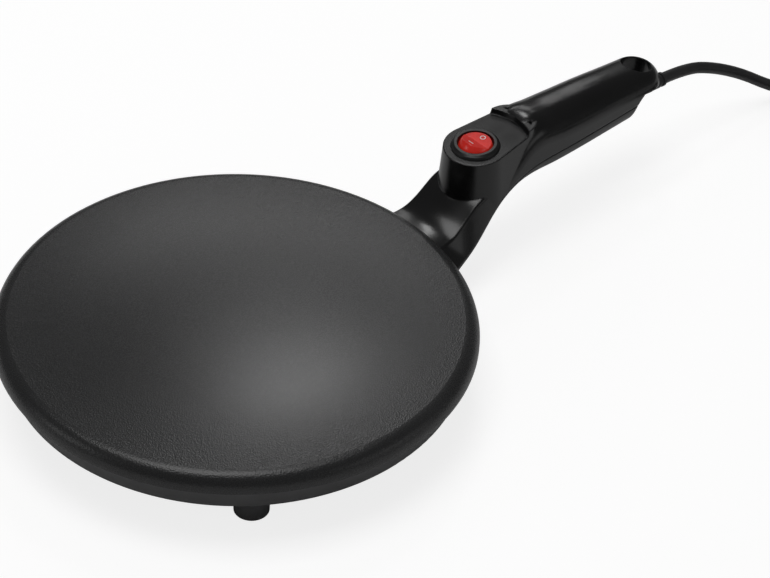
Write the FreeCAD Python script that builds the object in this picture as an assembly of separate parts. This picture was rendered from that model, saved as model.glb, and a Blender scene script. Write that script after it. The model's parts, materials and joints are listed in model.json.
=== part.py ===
import FreeCAD, Part
import math
import os

V = FreeCAD.Vector
UP = V(0, 0, 1)
os.makedirs("parts", exist_ok=True)

# Sizes are in millimetres. The table is z = 0, the plate's axis is the Z axis, the handle points along +X.

# Cooking plate: a cast aluminium dome with a rounded rim
PLATE_D = 208.0
PLATE_T = 3.5
RIM_Z = 29.0
RIM_WALL = 1.0
EDGE_R = 7.0
CROWN = 4.0

# Base cover: a shallow tapered pan under the plate
SEAM = 1.0
BAND_INSET = 1.4
BAND_H = 11.4
BAND_TAPER = 4.4
BASE_WALL = 2.5
LIP_H = 2.4
LIP_T = 1.8
LIP_CLEARANCE = 0.4
BASE_CORNER_R = 2.5
RIB_COUNT = 8
RIB_T = 1.6
RIB_H = 2.0
RIB_RING_R = 46.0

# Feet, in a rectangle, each held by the screw that also holds the base and reflector to the plate
FOOT_X = 49.0
FOOT_Y = 66.0
FOOT_LOW_D = 15.0
FOOT_TOP_D = 16.2
FOOT_SEAT = 1.2
FOOT_HOLE_D = 9.5
FOOT_TOP_WALL = 5.3
FOOT_SEAT_D = 8.6
FOOT_SEAT_T = 3.5
FOOT_EDGE = 0.8
FOOT_SCREW_D = 4.0
FOOT_SCREW_HEAD_D = 7.6
FOOT_SCREW_HEAD_H = 2.6

# Heat reflector, clamped between the base bosses and the plate bosses
REFLECTOR_DROP = 4.6
REFLECTOR_T = 0.6
REFLECTOR_GAP = 14.0
REFLECTOR_NOTCH_IN = 20.5
REFLECTOR_NOTCH_Y = 27.0
REFLECTOR_LIP = 2.2
REFLECTOR_HOLE_D = 52.0
BEAD_R = 71.0
BOSS_D = 10.0

# Heating element: a tubular ring staked in a rib of the plate
ELEMENT_R = 57.0
ELEMENT_D = 6.6
ELEMENT_UP = 1.5
ELEMENT_END_Y = 14.0
ELEMENT_BEND_R = 12.0
ELEMENT_END_X = 70.0
ELEMENT_RIB_T = 2.2
GROOVE_CLEARANCE = 0.2
BUSH_L = 4.0
BUSH_D = 7.8
BLADE_W = 6.3
BLADE_T = 0.8
BLADE_L = 7.0

# Thermostat on the plate's centre pad
PAD_UP = 6.3
PAD_R = 9.5
THERMOSTAT_R = 8.3
THERMOSTAT_CAP_H = 4.0
THERMOSTAT_H = 9.6
EAR_SPACING = 24.0
EAR_R = 3.8
EAR_T = 0.8
M3 = 3.0

# Thermal fuse in its sleeve, clipped to a pad of the plate
FUSE_X = 30.0
FUSE_Y = -17.0
FUSE_PAD_UP = 4.5
FUSE_D = 4.0
FUSE_L = 11.0
SLEEVE_D = 5.4
SLEEVE_L = 17.0
CLIP_T = 0.8
CLIP_W = 8.0

# Earth tag on its boss
EARTH_IN = 30.0
EARTH_BOSS_UP = 2.0
EARTH_BOSS_R = 4.0
TAG_T = 0.8

# Handle: distances H run outwards from the plate's rim, heights from the rim line
WALL = 2.2
PARTING_GAP = 0.35
BASE_GAP = 0.3
SWITCH_H = 37.0
FLAT_UP = 30.0
FLAT_TILT = 3.4
TURRET_TOP_R = 14.6
TURRET_FOOT_R = 16.4
TURRET_FOOT_UP = 4.0
TURRET_LIFT = 0.8
TURRET_TAIL = 22.0
TURRET_TAIL_TOP_R = 12.2
TURRET_TAIL_FOOT_R = 13.6
ARCH_R = 24.5
ARCH_SLANT = 2.0
ARCH_CUT_H = 8.0
HOLE_H = 143.0
HOLE_D = 15.0
TIP_SLOPE = 5.5
RING_T = 9.5
COVE_BACK = 15.0
COVE_RUN = 9.0
CAVITY_BACK = 18.0
TOP_LINE = ((-8, -1.4), (2, -0.6), (8, 0.0), (15, 3.0), (22, 8.4), (30, 13.0), (38, 15.0), (45, 18.5),
            (52, 25.5), (59, 32.5), (65, 35.4), (75, 34.4), (90, 33.0), (110, 31.6), (130, 29.6), (150, 27.4))
BOTTOM_LINE = ((-8, -12.4), (4, -12.4), (10, -12.2), (16, -10.6), (23, -7.4), (30, -3.4), (38, 1.0), (46, 4.2),
               (54, 6.2), (64, 6.6), (80, 6.0), (128, 6.0), (150, 6.0))
PARTING_LINE = ((-8, -11.0), (7, -11.0), (21, -6.4), (31, 0.8), (41, 7.0), (51, 11.2), (61, 14.2), (72, 15.2),
                (150, 15.2))
TOP_HALF_WIDTH = ((-8, 17.6), (2, 16.4), (8, 15.8), (16, 15.0), (30, 14.6), (50, 14.2), (64, 14.6), (80, 14.6),
                  (130, 13.0), (150, 12.3))
LOW_HALF_WIDTH = ((-8, 34.0), (-2, 30.5), (3, 27.6), (8, 25.0), (15, 22.6), (22, 21.0), (30, 18.8), (40, 16.6),
                  (50, 15.2), (62, 14.6), (80, 14.6), (130, 13.0), (150, 12.3))
CROWN_LINE = ((-8, 1.6), (20, 1.8), (44, 0.8), (60, 0.12), (150, 0.08))
TOP_ROUND = ((-8, 2.0), (20, 2.0), (38, 4.0), (50, 9.0), (58, 11.0), (70, 12.0), (80, 12.0), (130, 10.5), (150, 9.0))
LOW_ROUND = ((-8, 1.6), (12, 1.8), (30, 3.4), (50, 6.5), (64, 8.5), (150, 7.5))

# Neck lugs inside the base
LUG_L = 19.0
LUG_IN_Y = 9.5
LUG_OUT_Y = 21.0
LUG_H = 4.5
LUG_SCREW_Y = 14.5
LUG_SCREW_X = 14.0
NECK_SCREW_L = 6.4
TONGUE_INSET = 2.6
TONGUE_H = 6.0
TONGUE_WALL = 2.0
TONGUE_CLEARANCE = 0.25
FLOOR_GAP = 0.2

# Screws of the handle
SCREW_D = 3.0
SCREW_HEAD_D = 5.8
SCREW_HEAD_H = 2.0
SCREW_BOSS_D = 7.2
GRIP_SCREWS_H = (66.0, 86.0)
COVER_SCREW_H = 13.0
THREAD_CLEARANCE = 0.08

# Rocker switch: its own frame has its origin on the flat, Z square to the flat, X towards the grip
CUTOUT_D = 20.4
BEZEL_D = 22.6
BEZEL_T = 2.0
SWITCH_BODY_D = 20.0
SWITCH_DEPTH = 16.5
SWITCH_FLOOR = 1.6
ROCKER_R = 8.1
ROCKER_CLEARANCE = 0.25
PIVOT_DEPTH = 1.8
ROCKER_HALF_ANGLE = 11.0
ROCKER_SKIRT = 2.5
TRUNNION_D = 2.0
TRUNNION_L = 1.3
PLUNGER_TIP = 9.75
PLUNGER_D = 2.2
PLUNGER_TUBE_D = 4.2
LEVER_Z = -12.0
LEVER_L = 13.0
LEVER_W = 3.6
LEVER_T = 0.6
LEVER_RATIO = 0.5
CONTACT_D = 2.4
CONTACT_T = 0.6
CONTACT_Z = -13.8
TERMINAL_X = 6.5
TERMINAL_OUT = 6.5
TERMINAL_W = 4.8
LAMP_D = 3.8
LAMP_Y = 5.2
RESISTOR_D = 2.3

# The earth tag's barrel takes one insulated core
CORE_D = 2.2
BARREL_L = 3.6
BARREL_D = 3.4

# Power cord
CORD_D = 5.6
CORD_EXIT_H = 164.0
CORD_EXIT_UP = 9.5
RELIEF_ROOT_BACK = 11.0
RELIEF_ROOT_D = 9.0
RELIEF_TIP_D = 7.0
RELIEF_NECK_D = 7.4
RELIEF_FLANGE_D = 9.0
RELIEF_RIBS = 5
RELIEF_FLANGE_T = 1.6
RELIEF_SLOPE = 5.0
CLAMP_H = 98.0
CLAMP_W = 6.0
CLAMP_L = 19.0
CLAMP_T = 3.0
CLAMP_UP = 1.4
CLAMP_SCREW_Y = 6.8
CLAMP_BOSS_D = 5.6
COIL_TURN_R = 36.9
COIL_STEP = 3.1
COIL_LAYER = 6.1
COIL_CENTRE = (350.0, -67.0)
COIL_HEADING = -45.0
TAIL_KNEE = (76.0, -32.0, 18.6)
CORD_TAIL_END = (78.0, -50.0, 18.6)

# Plug
PLUG_D = 37.0
PLUG_L = 40.0
PLUG_RELIEF_L = 20.0
PLUG_TILT = 0.0
PIN_D = 4.8
PIN_L = 19.0
PIN_SPACING = 19.0
PIN_SHANK_D = 3.8
PIN_SHANK_L = 8.0
EARTH_HOLE_D = 5.0

# Sizes worked out from the ones above
PLATE_R = PLATE_D / 2
RIM_TOP_Z = RIM_Z + RIM_WALL
DOME_ANGLE = 2 * math.atan(CROWN / (PLATE_R - EDGE_R))
PLATE_TOP_Z = RIM_TOP_Z + EDGE_R + CROWN
BAND_TOP_Z = RIM_Z - SEAM
BASE_Z = BAND_TOP_Z - BAND_H
BASE_FLOOR_Z = BASE_Z + BASE_WALL
BAND_TOP_R = PLATE_R - BAND_INSET
BAND_LOW_R = BAND_TOP_R - BAND_TAPER
LIP_R = PLATE_R - PLATE_T - LIP_CLEARANCE
FOOT_H = BASE_Z + FOOT_SEAT
REFLECTOR_Z = RIM_Z - REFLECTOR_DROP
REFLECTOR_NOTCH_X = PLATE_R - REFLECTOR_NOTCH_IN
ELEMENT_Z = RIM_Z + ELEMENT_UP
PAD_Z = RIM_Z + PAD_UP
FUSE_PAD_Z = RIM_Z + FUSE_PAD_UP
EARTH_BOSS_Z = RIM_Z + EARTH_BOSS_UP
EARTH_X = PLATE_R - EARTH_IN
FOOT_HOLE_H = FOOT_H - FOOT_TOP_WALL
COVE_H = HOLE_H - COVE_BACK
CAVITY_END_H = HOLE_H - CAVITY_BACK
RELIEF_ROOT_H = HOLE_H - RELIEF_ROOT_BACK
PLATE_BOSS_Z = REFLECTOR_Z + REFLECTOR_T
FEET = [(sx * FOOT_X, sy * FOOT_Y) for sx in (1, -1) for sy in (1, -1)]
SWITCH_X = PLATE_R + SWITCH_H
FLAT_Z = RIM_Z + FLAT_UP
RING_X = PLATE_R + HOLE_H
CORD_Z = CORD_D / 2


def save(name, shape):
    shape.exportStep("parts/" + name + ".step")


def cylinder(x, y, z, radius, height, axis=UP):
    return Part.makeCylinder(radius, height, V(x, y, z), axis)


def cone(x, y, z, r1, r2, height, axis=UP):
    return Part.makeCone(r1, r2, height, V(x, y, z), axis)


def box(x0, x1, y0, y1, z0, z1):
    return Part.makeBox(x1 - x0, y1 - y0, z1 - z0, V(x0, y0, z0))


def joined(shapes):
    whole = shapes[0]
    for shape in shapes[1:]:
        whole = whole.fuse(shape)
    return whole.removeSplitter()


def turned(corners):
    """A solid turned about the Z axis from (radius, height) corners."""
    points = [V(r, 0, z) for r, z in corners]
    face = Part.Face(Part.makePolygon(points + points[:1]))
    return face.revolve(V(0, 0, 0), UP, 360)


def prism(points, depth):
    """A solid from a closed outline, pushed along depth."""
    return Part.Face(Part.makePolygon(points + points[:1])).extrude(depth)


def smooth_line(knots):
    """A function through the knots that never overshoots them: a monotone cubic."""
    xs = [k[0] for k in knots]
    ys = [k[1] for k in knots]
    rise = [(ys[i + 1] - ys[i]) / (xs[i + 1] - xs[i]) for i in range(len(xs) - 1)]
    slopes = [rise[0]]
    for before, after in zip(rise, rise[1:]):
        same_way = before * after > 0
        slopes.append(2 * before * after / (before + after) if same_way else 0.0)
    slopes.append(rise[-1])

    def value(x):
        i = max(k for k in range(len(xs) - 1) if k == 0 or xs[k] <= x)
        step = xs[i + 1] - xs[i]
        t = (x - xs[i]) / step
        return (ys[i] * (1 + 2 * t) * (1 - t) ** 2 + ys[i + 1] * t * t * (3 - 2 * t)
                + step * (slopes[i] * t * (1 - t) ** 2 - slopes[i + 1] * t * t * (1 - t)))
    return value


def route(points, largest=1000.0):
    """Straight runs joined by tangent arcs. Each arc is as large as its two runs allow, up to a largest radius."""
    points = [V(*p) for p in points]
    edges = []
    radii = []
    at = points[0]
    for before, corner, after in zip(points, points[1:], points[2:]):
        back = before - corner
        ahead = after - corner
        half_turn = (math.pi - back.getAngle(ahead)) / 2
        radius = min(0.45 * min(back.Length, ahead.Length) / math.tan(half_turn), largest)
        cut = radius * math.tan(half_turn)
        back.normalize()
        ahead.normalize()
        middle = back + ahead
        middle.normalize()
        start = corner + back * cut
        end = corner + ahead * cut
        crest = corner + middle * (radius / math.cos(half_turn) - radius)
        edges.append(Part.LineSegment(at, start).toShape())
        edges.append(Part.Arc(start, crest, end).toShape())
        radii.append(radius)
        at = end
    edges.append(Part.LineSegment(at, points[-1]).toShape())
    return Part.Wire(edges), radii


def tube(path, radius):
    """A round bar along a wire."""
    first = path.OrderedEdges[0]
    start = first.valueAt(first.FirstParameter)
    along = first.tangentAt(first.FirstParameter)
    profile = Part.Wire(Part.makeCircle(radius, start, along))
    return path.makePipeShell([profile], True, False)


def pan_screw(x, y, z, head_d, head_h, shank_d, length):
    """A pan head screw that points up. z is the seat of its head."""
    bevel = head_h * 0.35
    head = turned([(0, -head_h), (head_d / 2 - bevel, -head_h), (head_d / 2, bevel - head_h), (head_d / 2, 0),
                   (shank_d / 2, 0), (shank_d / 2, length), (0, length)])
    slot = head_d * 0.3
    cross = box(-slot, slot, -0.4, 0.4, -head_h, -head_h * 0.45)
    head = head.cut(cross).cut(cross.rotated(V(0, 0, 0), UP, 90))
    return head.translated(V(x, y, z))


def sunk_screw(x, y, z, length):
    """A countersunk screw that points up. z is the flush face of its head."""
    head_r = SCREW_HEAD_D / 2
    body = turned([(0, 0), (head_r, 0), (SCREW_D / 2, head_r - SCREW_D / 2), (SCREW_D / 2, length), (0, length)])
    cross = box(-1.7, 1.7, -0.4, 0.4, 0, 1.1)
    return body.cut(cross).cut(cross.rotated(V(0, 0, 0), UP, 90)).translated(V(x, y, z))


def sunk_hole(x, y, z, depth):
    """The clearance for sunk_screw."""
    head_r = SCREW_HEAD_D / 2 + 0.1
    hole_r = SCREW_D / 2 + 0.1
    return turned([(0, -1), (head_r, -1), (head_r, 0), (hole_r, head_r - hole_r), (hole_r, depth),
                   (0, depth)]).translated(V(x, y, z))


def dome_face(offset):
    """The plate's outline from its axis to its rim, moved inwards by offset."""
    side = PLATE_R - EDGE_R
    edge = EDGE_R - offset
    dome = side / math.sin(DOME_ANGLE) + edge
    top = V(0, 0, RIM_TOP_Z + EDGE_R + CROWN - offset)
    meet = V(side + edge * math.sin(DOME_ANGLE), 0, RIM_TOP_Z + edge * math.cos(DOME_ANGLE))
    half = DOME_ANGLE / 2
    crest = V(dome * math.sin(half), 0, top.z - dome * (1 - math.cos(half)))
    lean = (math.pi / 2 + DOME_ANGLE) / 2
    bulge = V(side + edge * math.sin(lean), 0, RIM_TOP_Z + edge * math.cos(lean))
    wall_top = V(side + edge, 0, RIM_TOP_Z)
    wall_low = V(side + edge, 0, RIM_Z)
    return [Part.Arc(top, crest, meet).toShape(), Part.Arc(meet, bulge, wall_top).toShape(),
            Part.LineSegment(wall_top, wall_low).toShape()]


def shell_of_plate():
    outer = dome_face(0)
    inner = dome_face(PLATE_T)
    rim = Part.LineSegment(V(PLATE_R, 0, RIM_Z), V(PLATE_R - PLATE_T, 0, RIM_Z)).toShape()
    axis = Part.LineSegment(V(0, 0, PLATE_TOP_Z - PLATE_T), V(0, 0, PLATE_TOP_Z)).toShape()
    wire = Part.Wire(Part.__sortEdges__(outer + inner + [rim, axis]))
    return Part.Face(wire).revolve(V(0, 0, 0), UP, 360)


def element_path():
    """The element's centre line: in along one end, round the ring and out along the other."""
    reach = ELEMENT_R + ELEMENT_BEND_R
    bend_y = ELEMENT_END_Y + ELEMENT_BEND_R
    bend_x = math.sqrt(reach ** 2 - bend_y ** 2)
    on_ring = math.atan2(bend_y, bend_x)
    halfway = (on_ring - math.pi / 2) / 2

    def at(x, y):
        return V(x, y, ELEMENT_Z)

    def side(s):
        end = at(ELEMENT_END_X, s * ELEMENT_END_Y)
        foot = at(bend_x, s * ELEMENT_END_Y)
        middle = math.pi + (on_ring + math.pi / 2) / 2
        crest = at(bend_x + ELEMENT_BEND_R * math.cos(middle), s * (bend_y + ELEMENT_BEND_R * math.sin(middle)))
        meet = at(ELEMENT_R * math.cos(on_ring), s * ELEMENT_R * math.sin(on_ring))
        return end, foot, crest, meet

    end, foot, crest, meet = side(1)
    end2, foot2, crest2, meet2 = side(-1)
    return Part.Wire([
        Part.LineSegment(end, foot).toShape(),
        Part.Arc(foot, crest, meet).toShape(),
        Part.Arc(meet, at(-ELEMENT_R, 0), meet2).toShape(),
        Part.Arc(meet2, crest2, foot2).toShape(),
        Part.LineSegment(foot2, end2).toShape()])


def element_rib():
    """The plate's rib that the upper half of the element lies in."""
    half = ELEMENT_D / 2 + ELEMENT_RIB_T
    top = PAD_Z + 1.5
    rib = turned([(ELEMENT_R - half, ELEMENT_Z), (ELEMENT_R + half, ELEMENT_Z), (ELEMENT_R + half, top),
                  (ELEMENT_R - half, top)])
    gap = box(0, PLATE_R, -ELEMENT_END_Y - ELEMENT_BEND_R, ELEMENT_END_Y + ELEMENT_BEND_R, 0, PLATE_TOP_Z)
    return rib.cut(gap)


def cooking_plate():
    room = dome_room()
    pieces = [shell_of_plate(), element_rib().common(room)]
    pieces += [cylinder(x, y, PLATE_BOSS_Z, BOSS_D / 2, PLATE_TOP_Z - PLATE_BOSS_Z).common(room) for x, y in FEET]
    pieces.append(cylinder(0, 0, PAD_Z, PAD_R, PLATE_TOP_Z - PAD_Z).common(room))
    for s in (1, -1):
        pieces.append(cylinder(s * EAR_SPACING / 2, 0, PAD_Z, EAR_R, PLATE_TOP_Z - PAD_Z).common(room))
    pieces.append(cylinder(EARTH_X, 0, EARTH_BOSS_Z, EARTH_BOSS_R, PLATE_TOP_Z - EARTH_BOSS_Z).common(room))
    pieces.append(box(FUSE_X - CLIP_W / 2, FUSE_X + CLIP_W / 2, FUSE_Y - SLEEVE_D / 2 - 1, FUSE_Y + SLEEVE_D + 5,
                      FUSE_PAD_Z, PLATE_TOP_Z).common(room))
    plate = joined(pieces)
    groove = tube(element_path(), ELEMENT_D / 2 + GROOVE_CLEARANCE)
    plate = plate.cut(groove)
    for x, y in FEET:
        plate = plate.cut(cylinder(x, y, 0, FOOT_SCREW_D / 2 + THREAD_CLEARANCE, foot_screw_top() + 0.5))
    tapped = M3 / 2 + THREAD_CLEARANCE
    for x, y in ear_holes() + [fuse_screw_at(), (EARTH_X, 0)]:
        plate = plate.cut(cylinder(x, y, 0, tapped, PAD_Z + 2.6))
    return plate


def dome_room():
    """The inside of the plate's dome, up to the middle of its wall, where bosses end."""
    outline = dome_face(PLATE_T / 2)
    low = outline[2].valueAt(outline[2].LastParameter)
    floor = Part.LineSegment(low, V(0, 0, RIM_Z)).toShape()
    axis = Part.LineSegment(V(0, 0, RIM_Z), V(0, 0, PLATE_TOP_Z - PLATE_T / 2)).toShape()
    face = Part.Face(Part.Wire(Part.__sortEdges__(outline + [floor, axis])))
    return face.revolve(V(0, 0, 0), UP, 360).fuse(cylinder(0, 0, 0, PLATE_R - PLATE_T, RIM_Z)).removeSplitter()


def ear_holes():
    return [(EAR_SPACING / 2, 0), (-EAR_SPACING / 2, 0)]


def fuse_screw_at():
    return (FUSE_X, FUSE_Y + SLEEVE_D / 2 + 4.0)


def foot_screw_top():
    return PAD_Z - 3.0


def heating_element():
    return tube(element_path(), ELEMENT_D / 2)


def element_bushes():
    bushes = []
    for s in (1, -1):
        body = cylinder(ELEMENT_END_X, s * ELEMENT_END_Y, ELEMENT_Z, BUSH_D / 2, BUSH_L, V(1, 0, 0))
        hole = cylinder(ELEMENT_END_X, s * ELEMENT_END_Y, ELEMENT_Z, 1.25, BUSH_L, V(1, 0, 0))
        bushes.append(body.cut(hole))
    return Part.makeCompound(bushes)


def element_pins():
    """The element's cold pins: a round stem through the bush and a flat blade."""
    pins = []
    end = ELEMENT_END_X + BUSH_L
    for s in (1, -1):
        y = s * ELEMENT_END_Y
        stem = cylinder(ELEMENT_END_X, y, ELEMENT_Z, 1.2, BUSH_L + 1.0, V(1, 0, 0))
        blade = box(end + 0.3, end + BLADE_L, y - BLADE_W / 2, y + BLADE_W / 2, ELEMENT_Z - BLADE_T / 2,
                    ELEMENT_Z + BLADE_T / 2)
        pins.append(joined([stem, blade]))
    return Part.makeCompound(pins)


def heat_reflector():
    z = REFLECTOR_Z
    t = REFLECTOR_T
    edge = PLATE_R - REFLECTOR_GAP
    hole = REFLECTOR_HOLE_D / 2
    bead = 1.5
    sheet = turned([(hole, z), (BEAD_R - 2 * bead, z), (BEAD_R - bead, z - bead / 2), (BEAD_R + bead, z - bead / 2),
                    (BEAD_R + 2 * bead, z), (edge, z), (edge, z + REFLECTOR_LIP), (edge - t, z + REFLECTOR_LIP),
                    (edge - t, z + t), (BEAD_R + 2 * bead, z + t), (BEAD_R + bead, z + t - bead / 2),
                    (BEAD_R - bead, z + t - bead / 2), (BEAD_R - 2 * bead, z + t), (hole, z + t)])
    for x, y in FEET:
        sheet = sheet.cut(cylinder(x, y, 0, FOOT_SCREW_D / 2 + 0.3, PLATE_TOP_Z))
    return sheet.cut(box(REFLECTOR_NOTCH_X, PLATE_R, -REFLECTOR_NOTCH_Y, REFLECTOR_NOTCH_Y, 0, PLATE_TOP_Z))


def thermostat_cap():
    top = PAD_Z
    cup = turned([(0, top), (THERMOSTAT_R, top), (THERMOSTAT_R, top - THERMOSTAT_CAP_H),
                  (THERMOSTAT_R - 0.5, top - THERMOSTAT_CAP_H), (THERMOSTAT_R - 0.5, top - 0.5), (0, top - 0.5)])
    bar = box(-EAR_SPACING / 2, EAR_SPACING / 2, -EAR_R, EAR_R, top - EAR_T, top)
    ears = [cylinder(x, 0, top - EAR_T, EAR_R, EAR_T) for x, _ in ear_holes()]
    inside = cylinder(0, 0, top - THERMOSTAT_CAP_H, THERMOSTAT_R - 0.5, THERMOSTAT_CAP_H - 0.5)
    cap = joined([cup, bar] + ears).cut(inside)
    for x, y in ear_holes():
        cap = cap.cut(cylinder(x, y, 0, M3 / 2 + 0.1, PLATE_TOP_Z))
    return cap


def thermostat_body():
    top = PAD_Z - 0.55
    low = PAD_Z - THERMOSTAT_H
    radius = THERMOSTAT_R - 0.55
    body = turned([(0, top), (radius, top), (radius, low + 1.2), (radius - 1.2, low), (0, low)])
    for s in (1, -1):
        body = body.cut(box(-BLADE_W / 2 - 0.1, BLADE_W / 2 + 0.1, min(s * 3, s * 12), max(s * 3, s * 12), low - 1,
                            low + BLADE_T))
    return body


def thermostat_blades():
    low = PAD_Z - THERMOSTAT_H
    blades = []
    for s in (1, -1):
        ys = sorted((s * 3.2, s * (THERMOSTAT_R + BLADE_L)))
        blades.append(box(-BLADE_W / 2, BLADE_W / 2, ys[0], ys[1], low, low + BLADE_T))
    return Part.makeCompound(blades)


def thermostat_screws():
    seat = PAD_Z - EAR_T
    return Part.makeCompound([pan_screw(x, y, seat, 5.6, 1.8, M3, 3.0) for x, y in ear_holes()])


def fuse_axis_z():
    return FUSE_PAD_Z - SLEEVE_D / 2 - 0.1


def thermal_fuse():
    z = fuse_axis_z()
    x0 = FUSE_X - FUSE_L / 2
    along = V(1, 0, 0)
    body = cylinder(x0, FUSE_Y, z, FUSE_D / 2, FUSE_L, along)
    nose = cone(x0 + FUSE_L, FUSE_Y, z, FUSE_D / 2, 0.9, 2.0, along)
    lead = cylinder(x0 - 8, FUSE_Y, z, 0.5, FUSE_L + 16, along)
    return joined([body, nose, lead])


def fuse_sleeve():
    z = fuse_axis_z()
    along = V(1, 0, 0)
    outer = cylinder(FUSE_X - SLEEVE_L / 2, FUSE_Y, z, SLEEVE_D / 2, SLEEVE_L, along)
    return outer.cut(cylinder(FUSE_X - SLEEVE_L / 2, FUSE_Y, z, FUSE_D / 2 + 0.1, SLEEVE_L, along))


def fuse_clip():
    """A strap bent round the sleeve, screwed beside it."""
    z = fuse_axis_z()
    along = V(1, 0, 0)
    x0 = FUSE_X - CLIP_W / 2
    loop_r = SLEEVE_D / 2 + 0.05
    loop = cylinder(x0, FUSE_Y, z, loop_r + CLIP_T, CLIP_W, along)
    loop = loop.cut(box(x0, x0 + CLIP_W, FUSE_Y - 6, FUSE_Y + 6, FUSE_PAD_Z, FUSE_PAD_Z + 5))
    foot_y = fuse_screw_at()[1] + 3.0
    foot = box(x0, x0 + CLIP_W, FUSE_Y, foot_y, FUSE_PAD_Z - CLIP_T, FUSE_PAD_Z)
    clip = joined([loop, foot]).cut(cylinder(x0, FUSE_Y, z, loop_r, CLIP_W, along))
    x, y = fuse_screw_at()
    return clip.cut(cylinder(x, y, 0, M3 / 2 + 0.1, PLATE_TOP_Z))


def fuse_screw():
    x, y = fuse_screw_at()
    return pan_screw(x, y, FUSE_PAD_Z - CLIP_T, 5.6, 1.8, M3, 3.6)


def earth_tag():
    low = EARTH_BOSS_Z - TAG_T
    ring = cylinder(EARTH_X, 0, low, EARTH_BOSS_R, TAG_T)
    neck = box(EARTH_X, EARTH_X + 8, -1.5, 1.5, low, EARTH_BOSS_Z)
    barrel = cylinder(EARTH_X + 7, 0, low - 0.7, BARREL_D / 2, BARREL_L, V(1, 0, 0))
    bore = cylinder(EARTH_X + 7, 0, low - 0.7, CORE_D / 2 + THREAD_CLEARANCE, BARREL_L, V(1, 0, 0))
    tag = joined([ring, neck, barrel]).cut(bore)
    return tag.cut(cylinder(EARTH_X, 0, 0, M3 / 2 + 0.1, PLATE_TOP_Z))


def earth_screw():
    return pan_screw(EARTH_X, 0, EARTH_BOSS_Z - TAG_T, 5.6, 1.8, M3, 4.6)


def base_outline(grow=0.0):
    """The outside of the base, closed over the top, for the pan and for what must clear it."""
    low = BAND_LOW_R + grow
    top = BAND_TOP_R + grow
    solid = turned([(0, BASE_Z), (low, BASE_Z), (top, BAND_TOP_Z), (0, BAND_TOP_Z)])
    bottom = [e for e in solid.Edges if abs(e.BoundBox.ZMax - BASE_Z) < 0.01 and e.BoundBox.XMax > low - 1]
    return solid.makeFillet(BASE_CORNER_R, bottom)


def base_inside():
    slope = BAND_TAPER / BAND_H
    wall = BASE_WALL * math.sqrt(1 + slope ** 2)
    low = BAND_LOW_R + BASE_WALL * slope - wall
    high = LIP_R - LIP_T
    return turned([(0, BASE_FLOOR_Z), (low, BASE_FLOOR_Z), (high, BASE_FLOOR_Z + 6.0), (high, RIM_Z + LIP_H),
                   (0, RIM_Z + LIP_H)])


def tongue_prism(inset, x0, x1):
    """The neck's section where it meets the base, pushed along X."""
    wire = handle_section(2.0, inset)
    face = Part.Face(wire)
    face.translate(V(x0 - face.BoundBox.XMin, 0, 0))
    return face.extrude(V(x1 - x0, 0, 0))


def lug_screws_at():
    return [(PLATE_R - LUG_SCREW_X, s * LUG_SCREW_Y) for s in (1, -1)]


def base_cover():
    lip = cylinder(0, 0, BAND_TOP_Z - 3, LIP_R, 3 + LIP_H)
    pan = joined([base_outline(), lip]).cut(base_inside())
    ribs = []
    for k in range(RIB_COUNT):
        rib = box(24, BAND_LOW_R - 5, -RIB_T / 2, RIB_T / 2, BASE_FLOOR_Z - 0.5, BASE_FLOOR_Z + RIB_H)
        ribs.append(rib.rotated(V(0, 0, 0), UP, 360.0 * (k + 0.5) / RIB_COUNT))
    ring = turned([(RIB_RING_R, BASE_FLOOR_Z - 0.5), (RIB_RING_R + RIB_T, BASE_FLOOR_Z - 0.5),
                   (RIB_RING_R + RIB_T, BASE_FLOOR_Z + RIB_H), (RIB_RING_R, BASE_FLOOR_Z + RIB_H)])
    bosses = [cone(x, y, BASE_FLOOR_Z - 0.5, BOSS_D / 2 + 0.4, BOSS_D / 2 - 0.4, REFLECTOR_Z - BASE_FLOOR_Z + 0.5)
              for x, y in FEET]
    pan = joined([pan, ring] + ribs + bosses)
    for x, y in FEET:
        pan = pan.cut(cylinder(x, y, BASE_Z, FOOT_TOP_D / 2 + 0.1, FOOT_SEAT))
        pan = pan.cut(cylinder(x, y, 0, FOOT_SCREW_D / 2 + 0.15, PLATE_TOP_Z))
    window = tongue_prism(TONGUE_INSET - TONGUE_CLEARANCE, BAND_LOW_R - 12, PLATE_R)
    window = window.common(box(0, PLATE_R, -PLATE_R, PLATE_R, BASE_FLOOR_Z, RIM_Z + LIP_H))
    pan = pan.cut(window)
    for x, y in lug_screws_at():
        pan = pan.cut(sunk_hole(x, y, BASE_Z, BASE_WALL + 2))
    return pan


def foot(x, y):
    low = FOOT_LOW_D / 2
    top = FOOT_TOP_D / 2
    hole = FOOT_HOLE_D / 2
    seat = FOOT_SEAT_D / 2
    step = FOOT_HOLE_H - FOOT_SEAT_T
    screw = FOOT_SCREW_D / 2 + 0.15
    body = turned([(hole, 0), (low - FOOT_EDGE, 0), (low, FOOT_EDGE), (top, FOOT_H), (screw, FOOT_H),
                   (screw, FOOT_HOLE_H), (seat, FOOT_HOLE_H), (seat, step), (hole, step)])
    return body.translated(V(x, y, 0))


def foot_screws():
    length = foot_screw_top() - FOOT_HOLE_H
    return Part.makeCompound([pan_screw(x, y, FOOT_HOLE_H, FOOT_SCREW_HEAD_D, FOOT_SCREW_HEAD_H, FOOT_SCREW_D, length)
                              for x, y in FEET])


top_line = smooth_line(TOP_LINE)
bottom_line = smooth_line(BOTTOM_LINE)
parting_line = smooth_line(PARTING_LINE)
top_half_width = smooth_line(TOP_HALF_WIDTH)
low_half_width = smooth_line(LOW_HALF_WIDTH)
crown_line = smooth_line(CROWN_LINE)
top_round = smooth_line(TOP_ROUND)
low_round = smooth_line(LOW_ROUND)


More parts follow.
